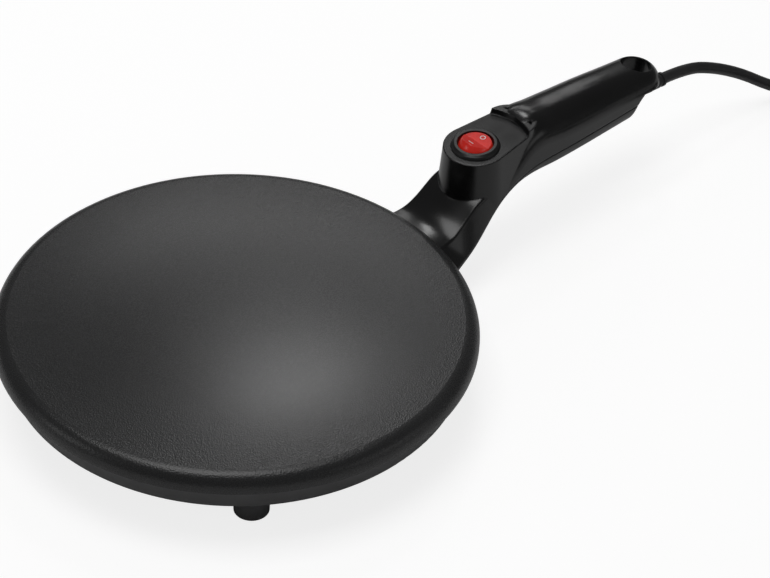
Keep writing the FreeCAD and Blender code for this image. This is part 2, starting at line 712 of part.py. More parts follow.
def rounded_corner(before, corner, after, radius):
    """The start, crest and end of the arc that rounds a corner of a section."""
    back = before - corner
    ahead = after - corner
    half = back.getAngle(ahead) / 2
    back.normalize()
    ahead.normalize()
    middle = back + ahead
    middle.normalize()
    cut = radius / math.tan(half)
    return corner + back * cut, corner + middle * (radius / math.sin(half) - radius), corner + ahead * cut


def handle_section(h, inset=0.0):
    """The handle's section at distance h past the rim: a rounded trapezoid with a crowned top."""
    top = RIM_Z + top_line(h) - inset
    low = RIM_Z + bottom_line(h) + inset
    wide_top = top_half_width(h)
    wide_low = low_half_width(h)
    lean = (wide_low - wide_top) / (top_line(h) - bottom_line(h))
    side = inset * math.sqrt(1 + lean * lean)
    y_top = wide_top + lean * inset - side
    y_low = wide_low - lean * inset - side
    r_top = max(top_round(h) - inset, 0.8)
    r_low = max(low_round(h) - inset, 0.8)
    x = PLATE_R + h
    corners = [V(x, y_top, top), V(x, y_low, low), V(x, -y_low, low), V(x, -y_top, top)]
    rounds = [r_top, r_low, r_low, r_top]
    arcs = []
    for k in range(4):
        arcs.append(rounded_corner(corners[k - 1], corners[k], corners[(k + 1) % 4], rounds[k]))
    edges = []
    for k in range(4):
        start, crest, end = arcs[k]
        edges.append(Part.Arc(start, crest, end).toShape())
        following = arcs[(k + 1) % 4][0]
        if k == 3:
            crown = V(x, 0, top + crown_line(h))
            edges.append(Part.Arc(end, crown, following).toShape())
        else:
            edges.append(Part.LineSegment(end, following).toShape())
    return Part.Wire(edges)


def handle_loft(h0, h1, count, inset=0.0, end_tilt=0.0):
    """The arm between two distances from the rim. Its last section may lean, to meet the ring squarely."""
    step = (h1 - h0) / (count - 1)
    sections = [handle_section(h0 + k * step, inset) for k in range(count)]
    sections[-1].rotate(V(PLATE_R + h1, 0, RIM_Z + top_line(h1)), V(0, 1, 0), end_tilt)
    return Part.makeLoft(sections, True, False)


def stadium(radius, tail_radius, z):
    """The turret's outline: a circle round the switch, drawn in to a smaller one towards the grip."""
    lean = math.asin((radius - tail_radius) / TURRET_TAIL)
    far = SWITCH_X + TURRET_TAIL
    p1 = V(SWITCH_X + radius * math.sin(lean), radius * math.cos(lean), z)
    p2 = V(far + tail_radius * math.sin(lean), tail_radius * math.cos(lean), z)
    q1 = V(p1.x, -p1.y, z)
    q2 = V(p2.x, -p2.y, z)
    return Part.Wire([
        Part.Arc(q1, V(SWITCH_X - radius, 0, z), p1).toShape(),
        Part.LineSegment(p1, p2).toShape(),
        Part.Arc(p2, V(far + tail_radius, 0, z), q2).toShape(),
        Part.LineSegment(q2, q1).toShape()])


def turret(inset=0.0):
    low = RIM_Z + TURRET_FOOT_UP
    high = FLAT_Z + ARCH_CUT_H / 2
    draft = (TURRET_FOOT_R - TURRET_TOP_R) / (FLAT_Z - low)
    more = draft * (high - FLAT_Z)
    wires = [stadium(TURRET_FOOT_R - inset, TURRET_TAIL_FOOT_R - inset, low),
             stadium(TURRET_TOP_R - more - inset, TURRET_TAIL_TOP_R - more - inset, high)]
    return Part.makeLoft(wires, True, True)


def under_line(line, drop, h0, h1):
    """Everything below a line of the handle, drop under it, from h0 to h1."""
    count = 24
    step = (h1 - h0) / (count - 1)
    points = [V(PLATE_R + h0 + k * step, -60, RIM_Z + line(h0 + k * step) - drop) for k in range(count)]
    curve = Part.BSplineCurve()
    curve.interpolate(points)
    low = -20.0
    first = points[0]
    last = points[-1]
    edges = [curve.toShape(), Part.LineSegment(last, V(last.x, -60, low)).toShape(),
             Part.LineSegment(V(last.x, -60, low), V(first.x, -60, low)).toShape(),
             Part.LineSegment(V(first.x, -60, low), first).toShape()]
    return Part.Face(Part.Wire(edges)).extrude(V(0, 120, 0))


def on_flat(shape):
    """Puts a shape from the switch's own frame onto the flat."""
    return shape.rotated(V(0, 0, 0), V(0, 1, 0), -FLAT_TILT).translated(V(SWITCH_X, 0, FLAT_Z))


def scoop(depth=0.0):
    """What is cut away over the flat: a cone round the switch, whose wall is the arch."""
    radius = ARCH_R + depth
    cut = cone(0, 0, -depth, radius, radius + ARCH_SLANT * ARCH_CUT_H / 4, ARCH_CUT_H * 2)
    return on_flat(cut)


def tip_axis():
    """The foot and direction of the hanging hole's axis, square to the sloping end of the grip."""
    lean = math.radians(TIP_SLOPE)
    axis = V(math.sin(lean), 0, math.cos(lean))
    foot = V(RING_X, 0, RIM_Z + top_line(HOLE_H))
    return foot, axis


def ring_end():
    """The handle's last section turned half round about the hanging hole."""
    foot, axis = tip_axis()
    section = handle_section(HOLE_H)
    half = Part.Face(section).common(box(RING_X - 5, RING_X + 5, 0, 40, 0, 100))
    half = half.rotated(foot, V(0, 1, 0), TIP_SLOPE)
    return half.revolve(foot, axis, -180)


def cove():
    """What is cut away under the hanging ring, with a hollow curve up from the grip's underside."""
    x0 = PLATE_R + COVE_H
    x1 = x0 + COVE_RUN
    x2 = RING_X + 40
    low = RIM_Z + bottom_line(COVE_H) - 3.0
    under = RIM_Z + top_line(HOLE_H) + crown_line(HOLE_H) - RING_T
    slope = math.tan(math.radians(TIP_SLOPE))
    start = V(x0 - 1.2, -40, low)
    knee = V(x1, -40, under + (RING_X - x1) * slope)
    far = V(x2, -40, under - (x2 - RING_X) * slope)
    bend = V(x0 + COVE_RUN * 0.42, -40, low + (knee.z - low) * 0.70)
    edges = [Part.Arc(start, bend, knee).toShape(), Part.LineSegment(knee, far).toShape(),
             Part.LineSegment(far, V(x2, -40, low)).toShape(), Part.LineSegment(V(x2, -40, low), start).toShape()]
    return Part.Face(Part.Wire(edges)).extrude(V(0, 80, 0))


def handle_envelope():
    """The whole handle's outside: the lofted arm, the turret, the ring and the cuts that shape them."""
    arm = handle_loft(-7.5, HOLE_H, 19, 0.0, TIP_SLOPE)
    post = turret().cut(under_line(parting_line, -TURRET_LIFT, -8.0, 150.0))
    body = arm.fuse(ring_end()).cut(cove())
    body = body.fuse(post).cut(scoop())
    foot, axis = tip_axis()
    return body.cut(Part.makeCylinder(HOLE_D / 2, 60, foot - axis * 40, axis))


def handle_cavity():
    """The hollow inside the handle."""
    arm = handle_loft(-8.0, CAVITY_END_H, 18, WALL)
    post = turret(WALL).cut(under_line(parting_line, -TURRET_LIFT, -8.0, 150.0))
    return arm.fuse(post).cut(scoop(WALL))


def cord_axis():
    """Where the cord leaves the strain relief, and its direction there."""
    lean = math.radians(RELIEF_SLOPE)
    exit_point = V(PLATE_R + CORD_EXIT_H, 0, RIM_Z + CORD_EXIT_UP)
    return exit_point, V(math.cos(lean), 0, -math.sin(lean))


def on_cord_axis(h):
    """The point of the cord's axis at distance h past the rim."""
    exit_point, along = cord_axis()
    return exit_point + along * ((h - CORD_EXIT_H) / along.x)


def relief_hole():
    """The way out of the cavity for the relief's neck, and the seat for its wider outer end."""
    _, along = cord_axis()
    neck = Part.makeCylinder(RELIEF_NECK_D / 2 + BASE_GAP, 20, on_cord_axis(CAVITY_END_H - 4), along)
    seat = Part.makeCylinder(RELIEF_ROOT_D / 2 + BASE_GAP, 30, on_cord_axis(RELIEF_ROOT_H) - along * BASE_GAP, along)
    return neck.fuse(seat)


def grip_screw_seat(h):
    return RIM_Z + bottom_line(h) + 3.0


def grip_bosses(upper):
    """Screw bosses of the grip, down from the roof or up from the floor, to the parting."""
    bosses = []
    for h in GRIP_SCREWS_H:
        x = PLATE_R + h
        parting = RIM_Z + parting_line(h) - 2.0
        if upper:
            bosses.append(cylinder(x, 0, parting + PARTING_GAP, SCREW_BOSS_D / 2, 30))
        else:
            bosses.append(cylinder(x, 0, RIM_Z + bottom_line(h), SCREW_BOSS_D / 2 + 0.6, parting - RIM_Z - bottom_line(h)))
    return bosses


def handle_upper(envelope, cavity):
    below = under_line(parting_line, -PARTING_GAP / 2, -8.0, 150.0)
    shell = envelope.cut(cavity).cut(below).cut(base_outline(BASE_GAP))
    shell = shell.cut(cylinder(0, 0, BAND_TOP_Z - 1.0, BAND_TOP_R + BASE_GAP, LIP_H + 2.0))
    under_plate = cylinder(0, 0, RIM_Z - BASE_GAP, PLATE_R + BASE_GAP, 30)
    bosses = [b.common(envelope) for b in grip_bosses(True)]
    x = PLATE_R + COVER_SCREW_H
    boss_low = RIM_Z + bottom_line(COVER_SCREW_H) + WALL + 1.4
    bosses.append(cylinder(x, 0, boss_low, SCREW_BOSS_D / 2, 30).common(envelope))
    tongue = tongue_prism(TONGUE_INSET, BAND_LOW_R - 1, PLATE_R + TONGUE_H)
    tongue = tongue.cut(tongue_prism(TONGUE_INSET + TONGUE_WALL, BAND_LOW_R - 2, PLATE_R + TONGUE_H + 1))
    tongue = tongue.common(box(0, 200, -60, 60, BASE_FLOOR_Z + FLOOR_GAP, 60))
    lugs = []
    for s in (1, -1):
        ys = sorted((s * LUG_IN_Y, s * LUG_OUT_Y))
        lug = box(PLATE_R - LUG_L, BAND_LOW_R + 2, ys[0], ys[1], BASE_FLOOR_Z + FLOOR_GAP,
                  BASE_FLOOR_Z + FLOOR_GAP + LUG_H)
        lugs.append(lug.common(tongue_prism(TONGUE_INSET + TONGUE_WALL / 2, 0, 200)))
    body = joined([shell, tongue] + lugs + bosses).cut(under_plate)
    for h in GRIP_SCREWS_H:
        body = body.cut(cylinder(PLATE_R + h, 0, 0, SCREW_D / 2 + THREAD_CLEARANCE, grip_screw_seat(h) + 14.5))
    body = body.cut(cylinder(x, 0, 0, SCREW_D / 2 + THREAD_CLEARANCE, RIM_Z + bottom_line(COVER_SCREW_H) + 10.5))
    for lx, ly in lug_screws_at():
        body = body.cut(cylinder(lx, ly, 0, SCREW_D / 2 + THREAD_CLEARANCE, BASE_Z + NECK_SCREW_L + 0.4))
    body = body.cut(on_flat(cylinder(0, 0, -WALL - 3, CUTOUT_D / 2, WALL + 6)))
    return body.cut(relief_hole())


def handle_lower(envelope, cavity):
    below = under_line(parting_line, PARTING_GAP / 2, -8.0, 150.0)
    shell = envelope.cut(cavity).common(below).cut(base_outline(BASE_GAP))
    bosses = [b.common(envelope) for b in grip_bosses(False)]
    clamp_x = PLATE_R + CLAMP_H
    clamp_low = RIM_Z + bottom_line(CLAMP_H) + WALL / 2
    for s in (1, -1):
        bosses.append(cylinder(clamp_x, s * CLAMP_SCREW_Y, clamp_low, CLAMP_BOSS_D / 2,
                               clamp_axis_z() + CLAMP_UP - clamp_low).common(envelope))
    body = joined([shell] + bosses)
    for s in (1, -1):
        body = body.cut(cylinder(clamp_x, s * CLAMP_SCREW_Y, clamp_low + 2, SCREW_D / 2 + THREAD_CLEARANCE, 20))
    for h in GRIP_SCREWS_H:
        x = PLATE_R + h
        seat = grip_screw_seat(h)
        body = body.cut(cylinder(x, 0, 0, SCREW_HEAD_D / 2 + 0.4, seat))
        body = body.cut(cylinder(x, 0, 0, SCREW_D / 2 + 0.15, seat + 20))
    x = PLATE_R + COVER_SCREW_H
    body = body.cut(sunk_hole(x, 0, RIM_Z + bottom_line(COVER_SCREW_H) + 0.3, 6))
    return body.cut(relief_hole())


def handle_screws():
    screws = []
    for h in GRIP_SCREWS_H:
        screws.append(pan_screw(PLATE_R + h, 0, grip_screw_seat(h), SCREW_HEAD_D, SCREW_HEAD_H, SCREW_D, 14.0))
    return Part.makeCompound(screws)


def neck_screws():
    return Part.makeCompound([sunk_screw(x, y, BASE_Z, NECK_SCREW_L) for x, y in lug_screws_at()])


def cover_screw():
    return sunk_screw(PLATE_R + COVER_SCREW_H, 0, RIM_Z + bottom_line(COVER_SCREW_H) + 0.3, 9.5)


def clamp_axis_z():
    return on_cord_axis(CLAMP_H + 8).z


def cord_clamp():
    """A bar over the cord, screwed down onto two bosses of the lower shell, hollowed to hold the sheath."""
    x = PLATE_R + CLAMP_H
    z = clamp_axis_z()
    bar = box(x - CLAMP_W / 2, x + CLAMP_W / 2, -CLAMP_L / 2, CLAMP_L / 2, z + CLAMP_UP, z + CLAMP_UP + CLAMP_T)
    bar = bar.cut(cylinder(x - 10, 0, z, CORD_D / 2 + THREAD_CLEARANCE, 20, V(1, 0, 0)))
    for s in (1, -1):
        bar = bar.cut(cylinder(x, s * CLAMP_SCREW_Y, 0, SCREW_D / 2 + 0.15, 100))
    return bar


def clamp_screws():
    seat = clamp_axis_z() + CLAMP_UP + CLAMP_T
    screw = pan_screw(0, 0, 0, SCREW_HEAD_D, SCREW_HEAD_H, SCREW_D, CLAMP_T + 5.0).rotated(V(0, 0, 0), V(1, 0, 0), 180)
    x = PLATE_R + CLAMP_H
    return Part.makeCompound([screw.translated(V(x, s * CLAMP_SCREW_Y, seat)) for s in (1, -1)])


def switch_housing():
    bezel_r = BEZEL_D / 2
    body_r = SWITCH_BODY_D / 2
    inside = ROCKER_R + ROCKER_CLEARANCE
    floor = -SWITCH_DEPTH
    shell = turned([(inside, BEZEL_T), (bezel_r - 1.6, BEZEL_T), (bezel_r - 0.5, BEZEL_T * 0.6), (bezel_r, 0.02),
                    (body_r, 0.02), (body_r, floor), (0, floor), (0, floor + SWITCH_FLOOR),
                    (inside, floor + SWITCH_FLOOR)])
    pieces = [shell]
    for s in (1, -1):
        wing = prism([V(-2.5, s * (body_r - 0.8), -9.0), V(-2.5, s * (body_r + 0.9), -WALL - 0.6),
                      V(-2.5, s * (body_r - 0.8), -WALL - 0.6)], V(5, 0, 0))
        pieces.append(wing)
    pieces.append(box(-3, 3, LAMP_Y - 1.4, LAMP_Y + 1.4, floor + 1, -9.0 - LAMP_D / 2 - 0.05))
    pieces.append(box(-2.5, 2.5, -LAMP_Y - 1.2, -LAMP_Y + 1.2, floor + 1, -9.0 - RESISTOR_D / 2 - 0.05))
    housing = joined(pieces)
    trunnion = cylinder(0, -body_r - 2, -PIVOT_DEPTH, TRUNNION_D / 2 + 0.05, 2 * body_r + 4, V(0, 1, 0))
    housing = housing.cut(trunnion.common(cylinder(0, 0, -8, inside + TRUNNION_L, 12)))
    for x in (-TERMINAL_X, 0, TERMINAL_X):
        housing = housing.cut(box(x - BLADE_T / 2 - 0.05, x + BLADE_T / 2 + 0.05, -TERMINAL_W / 2 - 0.05,
                                  TERMINAL_W / 2 + 0.05, floor - 1, floor + SWITCH_FLOOR + 0.5))
    return on_flat(housing)


def rocker_button():
    """The rocker, in its middle place, turned to its rest: its end by the grip pressed down."""
    slope = math.tan(math.radians(ROCKER_HALF_ANGLE))
    top = PIVOT_DEPTH + BEZEL_T
    ball = Part.makeSphere(ROCKER_R)
    reach = ROCKER_R + 1
    keep = prism([V(-reach, -reach, top + reach * slope), V(0, -reach, top), V(reach, -reach, top + reach * slope),
                  V(reach, -reach, -ROCKER_SKIRT), V(-reach, -reach, -ROCKER_SKIRT)], V(0, 2 * reach, 0))
    body = ball.common(keep)
    hollow = Part.makeSphere(ROCKER_R - 1.3).common(box(-reach, reach, -reach, reach, -ROCKER_SKIRT - 1, top - 1.6))
    stem = cylinder(0, 0, -ROCKER_SKIRT - 3.6, PLUNGER_TUBE_D / 2, top + ROCKER_SKIRT + 2.6)
    body = joined([body.cut(hollow), stem])
    for s in (1, -1):
        body = body.fuse(cylinder(0, s * (ROCKER_R - 1.5), 0, TRUNNION_D / 2, TRUNNION_L + 1.6, V(0, s, 0)))
    body = body.cut(cylinder(0, 0, -ROCKER_SKIRT - 4, PLUNGER_D / 2 + 0.15, 6.2))
    return rocked(body.removeSplitter())


def rocked(shape):
    """From the rocker's own frame, with its pivot at the origin, to its rest place."""
    turned_down = shape.rotated(V(0, 0, 0), V(0, 1, 0), ROCKER_HALF_ANGLE)
    return on_flat(turned_down.translated(V(0, 0, -PIVOT_DEPTH)))


def plunger():
    r = PLUNGER_D / 2
    pin = turned([(0, -PLUNGER_TIP), (r * 0.6, -PLUNGER_TIP + 0.2), (r, -PLUNGER_TIP + 0.9), (r, -PLUNGER_TIP + 4.2),
                  (r * 0.45, -PLUNGER_TIP + 4.2), (r * 0.45, -PLUNGER_TIP + 6.2), (0, -PLUNGER_TIP + 6.2)])
    return rocked(pin)


def rising_half_turns(centre, radius, rise, count):
    """A rising coil of half turns, each a semicircle in a leaning plane, level where it meets the next."""
    edges = []
    side = 1
    z = centre.z
    for _ in range(count):
        start = V(centre.x + side * radius, centre.y, z)
        end = V(centre.x - side * radius, centre.y, z + rise)
        middle = (start + end) * 0.5
        lean = math.hypot(radius, rise / 2)
        edges.append(Part.Arc(start, middle + V(0, side * lean, 0), end).toShape())
        side = -side
        z += rise
    return Part.Wire(edges)


def plunger_spring():
    """A short spring round the plunger's stem, up in the rocker's bore."""
    path = rising_half_turns(V(0, 0, -PLUNGER_TIP + 4.45), 0.8, 0.36, 5)
    return rocked(tube(path, 0.2))


def contact_lever():
    """The seesaw: a strip with two contacts, tipped towards the plunger's side."""
    half = LEVER_L / 2
    strip = box(-half, half, -LEVER_W / 2, LEVER_W / 2, -LEVER_T / 2, LEVER_T / 2)
    contacts = [cylinder(s * (half - CONTACT_D / 2), 0, -LEVER_T / 2 - CONTACT_T, CONTACT_D / 2, CONTACT_T)
                for s in (1, -1)]
    lever = joined([strip] + contacts)
    lever = lever.rotated(V(0, 0, 0), V(0, 1, 0), -ROCKER_HALF_ANGLE * LEVER_RATIO)
    return on_flat(lever.translated(V(0, 0, LEVER_Z)))


def switch_terminals():
    """Three blades through the floor: one carries the seesaw, one ends in a fixed contact, one is the lamp's."""
    low = -SWITCH_DEPTH - TERMINAL_OUT
    t = BLADE_T / 2
    w = TERMINAL_W / 2
    tops = {-TERMINAL_X: CONTACT_Z, 0: LEVER_Z - LEVER_T / 2 - 0.15, TERMINAL_X: CONTACT_Z}
    blades = []
    for x, top in tops.items():
        blade = box(x - t, x + t, -w, w, low, top)
        if x > 0:
            blade = blade.fuse(cylinder(x - 1.0, 0, top - 0.6, CONTACT_D / 2, 0.6)).removeSplitter()
        blades.append(on_flat(blade))
    return Part.makeCompound(blades)


def neon_lamp():
    x0 = -4.2
    glass = turned([(0, 0), (0.7, 0.0), (LAMP_D / 2, 1.4), (LAMP_D / 2, 8.4), (0, 8.4)])
    glass = glass.rotated(V(0, 0, 0), V(0, 1, 0), 90).translated(V(x0, LAMP_Y, -9.0))
    return on_flat(glass)


def neon_resistor():
    body = cylinder(-3.2, -LAMP_Y, -9.0, RESISTOR_D / 2, 6.4, V(1, 0, 0))
    leads = cylinder(-5.0, -LAMP_Y, -9.0, 0.3, 10.0, V(1, 0, 0))
    return on_flat(joined([body, leads]))


def cord_jacket():
    """The cord's own sheath inside the handle, from the clamp to the strain relief's mouth."""
    exit_point, _ = cord_axis()
    bend = on_cord_axis(CLAMP_H + 8)
    path, _ = route([V(bend.x - 14, 0, bend.z), bend, exit_point], 60.0)
    return tube(path, CORD_D / 2)


def strain_relief():
    exit_point, along = cord_axis()
    root = on_cord_axis(RELIEF_ROOT_H)
    length = (exit_point - root).Length
    inner = on_cord_axis(CAVITY_END_H - 2 * RELIEF_FLANGE_T)
    back = (root - inner).Length
    tip = RELIEF_TIP_D / 2
    base = RELIEF_ROOT_D / 2
    neck = RELIEF_NECK_D / 2
    flange = RELIEF_FLANGE_D / 2
    bore = CORD_D / 2 + THREAD_CLEARANCE
    outline = [(bore, -back), (flange, -back), (flange, RELIEF_FLANGE_T - back), (neck, RELIEF_FLANGE_T - back)]
    outline += [(neck, 0), (base, 0)]
    pitch = (length - 4) / RELIEF_RIBS
    for k in range(RELIEF_RIBS):
        r = base + (tip - base) * (k + 1) / RELIEF_RIBS
        z = 2 + k * pitch
        outline += [(r, z), (r, z + pitch * 0.55), (r - 0.5, z + pitch * 0.55), (r - 0.5, z + pitch)]
    outline += [(tip, length - 2), (tip, length - 0.6), (tip - 0.6, length), (bore, length)]
    body = turned(outline)
    body.Placement = FreeCAD.Placement(root, FreeCAD.Rotation(UP, along))
    return body


def coil_frame(f, s, z):
    """A point by the coil: f ahead along the cord's heading, s to the coil's outer side, z above the table."""
    a = math.radians(COIL_HEADING)
    x, y = COIL_CENTRE
    return V(x + f * math.cos(a) - s * math.sin(a), y + f * math.sin(a) + s * math.cos(a), z)


def coil_path():
    """Half turns that spiral in on the table, climb a layer where the spiral reverses, and spiral out again."""
    steps = (0, 1, 2, 3, 4, 3, 2, 1)
    radii = [COIL_TURN_R - k * COIL_STEP for k in steps]
    at = COIL_TURN_R
    z = CORD_Z
    side = 1
    edges = [Part.LineSegment(coil_frame(-CORD_D, at, z), coil_frame(0, at, z)).toShape()]
    length = CORD_D
    for k, radius in enumerate(radii):
        rise = COIL_LAYER if steps[k] == max(steps) else 0.0
        centre = at - side * radius
        end = centre - side * radius
        half = math.hypot(radius, rise / 2)
        crest = coil_frame(side * half, centre, z + rise / 2)
        edges.append(Part.Arc(coil_frame(0, at, z), crest, coil_frame(0, end, z + rise)).toShape())
        length += math.pi * half
        at = end
        z += rise
        side = -side
    edges.append(Part.LineSegment(coil_frame(0, at, z), coil_frame(CORD_D, at, z)).toShape())
    return Part.Wire(edges), coil_frame(CORD_D, at, z), length + CORD_D, (at, z)


def least_gap(path):
    """The least gap of a wound tube to itself, measured on points of its centre line."""
    points = []
    along = []
    travelled = 0.0
    for edge in path.OrderedEdges:
        count = max(2, int(edge.Length / 3))
        for k in range(count):
            points.append(edge.valueAt(edge.FirstParameter + (edge.LastParameter - edge.FirstParameter) * k / count))
            along.append(travelled + edge.Length * k / count)
        travelled += edge.Length
    least = 1e9
    for i, p in enumerate(points):
        for j in range(i + 1, len(points)):
            if along[j] - along[i] > 6 * CORD_D:
                least = min(least, (p - points[j]).Length)
    return least - CORD_D


def cord_points():
    """The free cord's route from the strain relief down to the table and to the coil."""
    exit_point, along = cord_axis()
    start = coil_frame(-CORD_D, COIL_TURN_R, CORD_Z)
    return [tuple(exit_point), tuple(exit_point + along * 18), (303.0, -3.0, 31.0), (320.0, -7.0, 22.0),
            (335.0, -12.0, 11.5), (349.0, -18.5, 4.2), tuple(coil_frame(-CORD_D - 16, COIL_TURN_R, CORD_Z)), tuple(start)]


def tail_points(end_f, end_s, z):
    """The last stretch, off the coil's top turn, down to the table and round to the plug."""
    f, s, rear_z = CORD_TAIL_END
    places = [(end_f, end_s, z), (23.0, end_s, z), (41.0, end_s - 5, z - 4), (57.0, end_s - 15, CORD_Z + 0.1),
              (68.0, end_s - 30, CORD_Z + 1.4), (73.5, end_s - 50, CORD_Z + 9), TAIL_KNEE, (f, s, rear_z)]
    return [tuple(coil_frame(*p)) for p in places]


def plug_frame():
    """Where the cord enters the plug, and the plug's direction."""
    f, s, z = CORD_TAIL_END
    at = coil_frame(f, s, z)
    before = coil_frame(*TAIL_KNEE)
    level = V(at.x - before.x, at.y - before.y, 0)
    level.normalize()
    lean = math.radians(PLUG_TILT)
    return at, level * math.cos(lean) + V(0, 0, math.sin(lean))


def on_plug(shape):
    """Puts a shape from the plug's own frame, cord entry at the origin and pins along Z, to its place."""
    at, along = plug_frame()
    placed = shape.copy()
    side = along.cross(UP)
    plug = FreeCAD.Placement(at, FreeCAD.Rotation(side, along.cross(side), along, "ZXY"))
    placed.Placement = plug * shape.Placement
    return placed


def plug_body():
    face = PLUG_RELIEF_L + PLUG_L
    r = PLUG_D / 2
    bore = CORD_D / 2 + THREAD_CLEARANCE
    body = turned([(0, 3), (bore, 3), (bore, 0), (CORD_D / 2 + 1.0, 0), (CORD_D / 2 + 2.2, PLUG_RELIEF_L), (8.5, PLUG_RELIEF_L + 1.5),
                   (10.5, PLUG_RELIEF_L + 10), (12.0, PLUG_RELIEF_L + 20), (r - 1.5, PLUG_RELIEF_L + 25),
                   (r, PLUG_RELIEF_L + 27), (r, face - 1), (r - 1, face), (0, face)])
    for s in (1, -1):
        ys = sorted((s * (r - 2.2), s * (r + 1)))
        body = body.cut(box(-3.2, 3.2, ys[0], ys[1], PLUG_RELIEF_L + 24, face + 1))
        body = body.cut(cylinder(s * PIN_SPACING / 2, 0, face - PIN_SHANK_L, PIN_SHANK_D / 2 + 0.02, PIN_SHANK_L + 1))
    body = body.cut(cylinder(0, 10.0, face - 12, EARTH_HOLE_D / 2, 13))
    return on_plug(body)


def plug_pins():
    face = PLUG_RELIEF_L + PLUG_L
    pins = []
    for s in (1, -1):
        r = PIN_D / 2
        shank = PIN_SHANK_D / 2
        pin = turned([(0, face - PIN_SHANK_L), (shank, face - PIN_SHANK_L), (shank, face), (r, face),
                      (r, face + PIN_L - 1.4), (r - 1.4, face + PIN_L), (0, face + PIN_L)])
        pins.append(on_plug(pin.translated(V(s * PIN_SPACING / 2, 0, 0))))
    return Part.makeCompound(pins)


def earth_clips():
    face = PLUG_RELIEF_L + PLUG_L
    clips = []
    for s in (1, -1):
        inner = PLUG_D / 2 - 2.2
        ys = sorted((s * inner, s * (inner + 0.8)))
        clip = box(-2.2, 2.2, ys[0], ys[1], PLUG_RELIEF_L + 25, face - 1)
        clips.append(on_plug(clip))
    return Part.makeCompound(clips)


def main():
    save("cooking_plate", cooking_plate())
    save("heating_element", heating_element())
    save("element_bushes", element_bushes())
    save("element_pins", element_pins())
    save("heat_reflector", heat_reflector())
    save("thermostat_cap", thermostat_cap())
    save("thermostat_body", thermostat_body())
    save("thermostat_blades", thermostat_blades())
    save("thermostat_screws", thermostat_screws())
    save("thermal_fuse", thermal_fuse())
    save("fuse_sleeve", fuse_sleeve())
    save("fuse_clip", fuse_clip())
    save("fuse_screw", fuse_screw())
    save("earth_tag", earth_tag())
    save("earth_screw", earth_screw())
    save("base_cover", base_cover())
    for (x, y), name in zip(FEET, ("handle_left", "handle_right", "front_left", "front_right")):
        save("foot_" + name, foot(x, y))
    save("foot_screws", foot_screws())
    envelope = handle_envelope()
    cavity = handle_cavity()
    save("handle_upper", handle_upper(envelope, cavity))
    save("handle_lower", handle_lower(envelope, cavity))
    save("switch_housing", switch_housing())
    save("rocker_button", rocker_button())
    save("plunger", plunger())
    save("plunger_spring", plunger_spring())
    save("contact_lever", contact_lever())
    save("switch_terminals", switch_terminals())
    save("neon_lamp", neon_lamp())
    save("neon_resistor", neon_resistor())
    save("handle_screws", handle_screws())
    save("neck_screws", neck_screws())
    save("cover_screw", cover_screw())
    save("cord_clamp", cord_clamp())
    save("clamp_screws", clamp_screws())
    save("cord_jacket", cord_jacket())
    save("strain_relief", strain_relief())
    points = cord_points()
    path, radii = route(points)
    print("cord radii", [round(r, 1) for r in radii], "length", round(path.Length, 1))
    save("power_cord", tube(path, CORD_D / 2))
    coil, coil_end, length, (end_s, end_z) = coil_path()
    print("coil gap", round(least_gap(coil), 2), "length", round(length, 1))
    save("cord_coil", tube(coil, CORD_D / 2))
    path, radii = route(tail_points(CORD_D, end_s, end_z))
    print("tail radii", [round(r, 1) for r in radii], "length", round(path.Length, 1))
    save("cord_tail", tube(path, CORD_D / 2))
    save("plug_body", plug_body())
    save("plug_pins", plug_pins())
    save("earth_clips", earth_clips())


main()
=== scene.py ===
import bpy, bmesh, json, math
from mathutils import Matrix, Vector


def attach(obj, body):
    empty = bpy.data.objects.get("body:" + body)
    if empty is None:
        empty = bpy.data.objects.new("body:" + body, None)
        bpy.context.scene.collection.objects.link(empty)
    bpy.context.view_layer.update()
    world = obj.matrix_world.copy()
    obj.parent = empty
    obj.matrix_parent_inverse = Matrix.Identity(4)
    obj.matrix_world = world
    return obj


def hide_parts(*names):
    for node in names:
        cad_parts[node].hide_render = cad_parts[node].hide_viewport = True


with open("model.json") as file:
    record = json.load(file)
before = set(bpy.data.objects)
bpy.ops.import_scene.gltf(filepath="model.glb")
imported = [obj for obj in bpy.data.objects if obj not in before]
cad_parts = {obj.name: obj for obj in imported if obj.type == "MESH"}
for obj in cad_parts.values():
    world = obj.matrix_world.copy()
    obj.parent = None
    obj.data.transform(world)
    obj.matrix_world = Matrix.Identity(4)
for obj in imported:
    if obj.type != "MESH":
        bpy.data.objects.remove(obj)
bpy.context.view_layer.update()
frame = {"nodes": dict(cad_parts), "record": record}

MM = 0.001


def link(obj):
    bpy.context.scene.collection.objects.link(obj)
    return obj


# Camera: the photograph's view, fitted to the plate's ellipse, the handle and the feet
LENS_MM = 133.7
SENSOR_MM = 36
DISTANCE = 1247 * MM
ELEVATION = math.radians(38.97)
ROLL = math.radians(2.84)
TARGET = Vector((66.4, -21.85, 29.0)) * MM
CLIP = (0.01, 20)


def make_camera():
    across = Vector((1, -1, 0)).normalized()
    away = Vector((1, 1, 0)).normalized()
    forward = away * math.cos(ELEVATION) - Vector((0, 0, math.sin(ELEVATION)))
    lifted = away * math.sin(ELEVATION) + Vector((0, 0, math.cos(ELEVATION)))
    right = across * math.cos(ROLL) + lifted * math.sin(ROLL)
    up = lifted * math.cos(ROLL) - across * math.sin(ROLL)
    data = bpy.data.cameras.new("camera")
    data.lens = LENS_MM
    data.sensor_width = SENSOR_MM
    data.clip_start, data.clip_end = CLIP
    camera = link(bpy.data.objects.new("camera", data))
    turn = Matrix((right, up, -forward)).transposed().to_4x4()
    camera.matrix_world = Matrix.Translation(TARGET - forward * DISTANCE) @ turn
    bpy.context.scene.camera = camera


# Node helpers: each returns the socket that carries its result
def node_of_type(tree, kind):
    return next(n for n in tree.nodes if n.type == kind)


def place(tree):
    """Places on the object, in metres."""
    return tree.nodes.new("ShaderNodeTexCoord").outputs["Object"]


